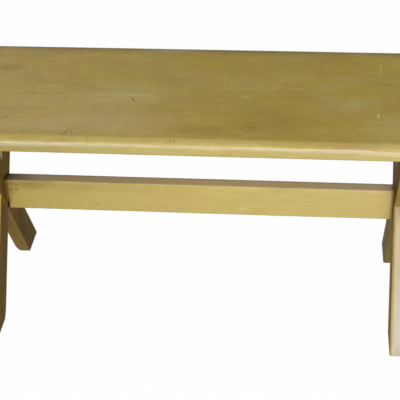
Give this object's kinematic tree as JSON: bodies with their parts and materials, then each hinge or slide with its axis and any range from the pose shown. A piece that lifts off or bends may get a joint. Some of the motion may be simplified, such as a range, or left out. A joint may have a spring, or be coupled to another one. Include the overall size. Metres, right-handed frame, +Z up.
{
  "type": "porch bench",
  "caption": "Backless painted timber bench with a thick plank seat on crossed-board trestles, tied by a long stretcher board on edge.",
  "frame": {"origin": "on the floor, under the middle of the seat", "axes": "+X along the seat, +Y to the back, where the wider seat board is, and +Z up"},
  "size_m": [1.067, 0.3714, 0.4535],
  "materials": {
    "painted_wood": "worn satin mustard paint on softwood boards",
    "dowel_wood": "bare beech, glued in",
    "screw_steel": "dull steel, painted over where it shows"
  },
  "bodies": {
    "root": {"seat_board_front": "painted_wood", "seat_board_back": "painted_wood", "stretcher": "painted_wood", "left_front_foot_leg": "painted_wood", "left_back_foot_leg": "painted_wood", "right_front_foot_leg": "painted_wood", "right_back_foot_leg": "painted_wood", "left_cleat": "painted_wood", "right_cleat": "painted_wood", "seat_joint_dowels": "dowel_wood", "stretcher_nails": "screw_steel", "left_stretcher_screws": "screw_steel", "left_lap_screws": "screw_steel", "left_cleat_screws": "screw_steel", "left_seat_screws": "screw_steel", "right_stretcher_screws": "screw_steel", "right_lap_screws": "screw_steel", "right_cleat_screws": "screw_steel", "right_seat_screws": "screw_steel"}
  },
  "joints": []
}
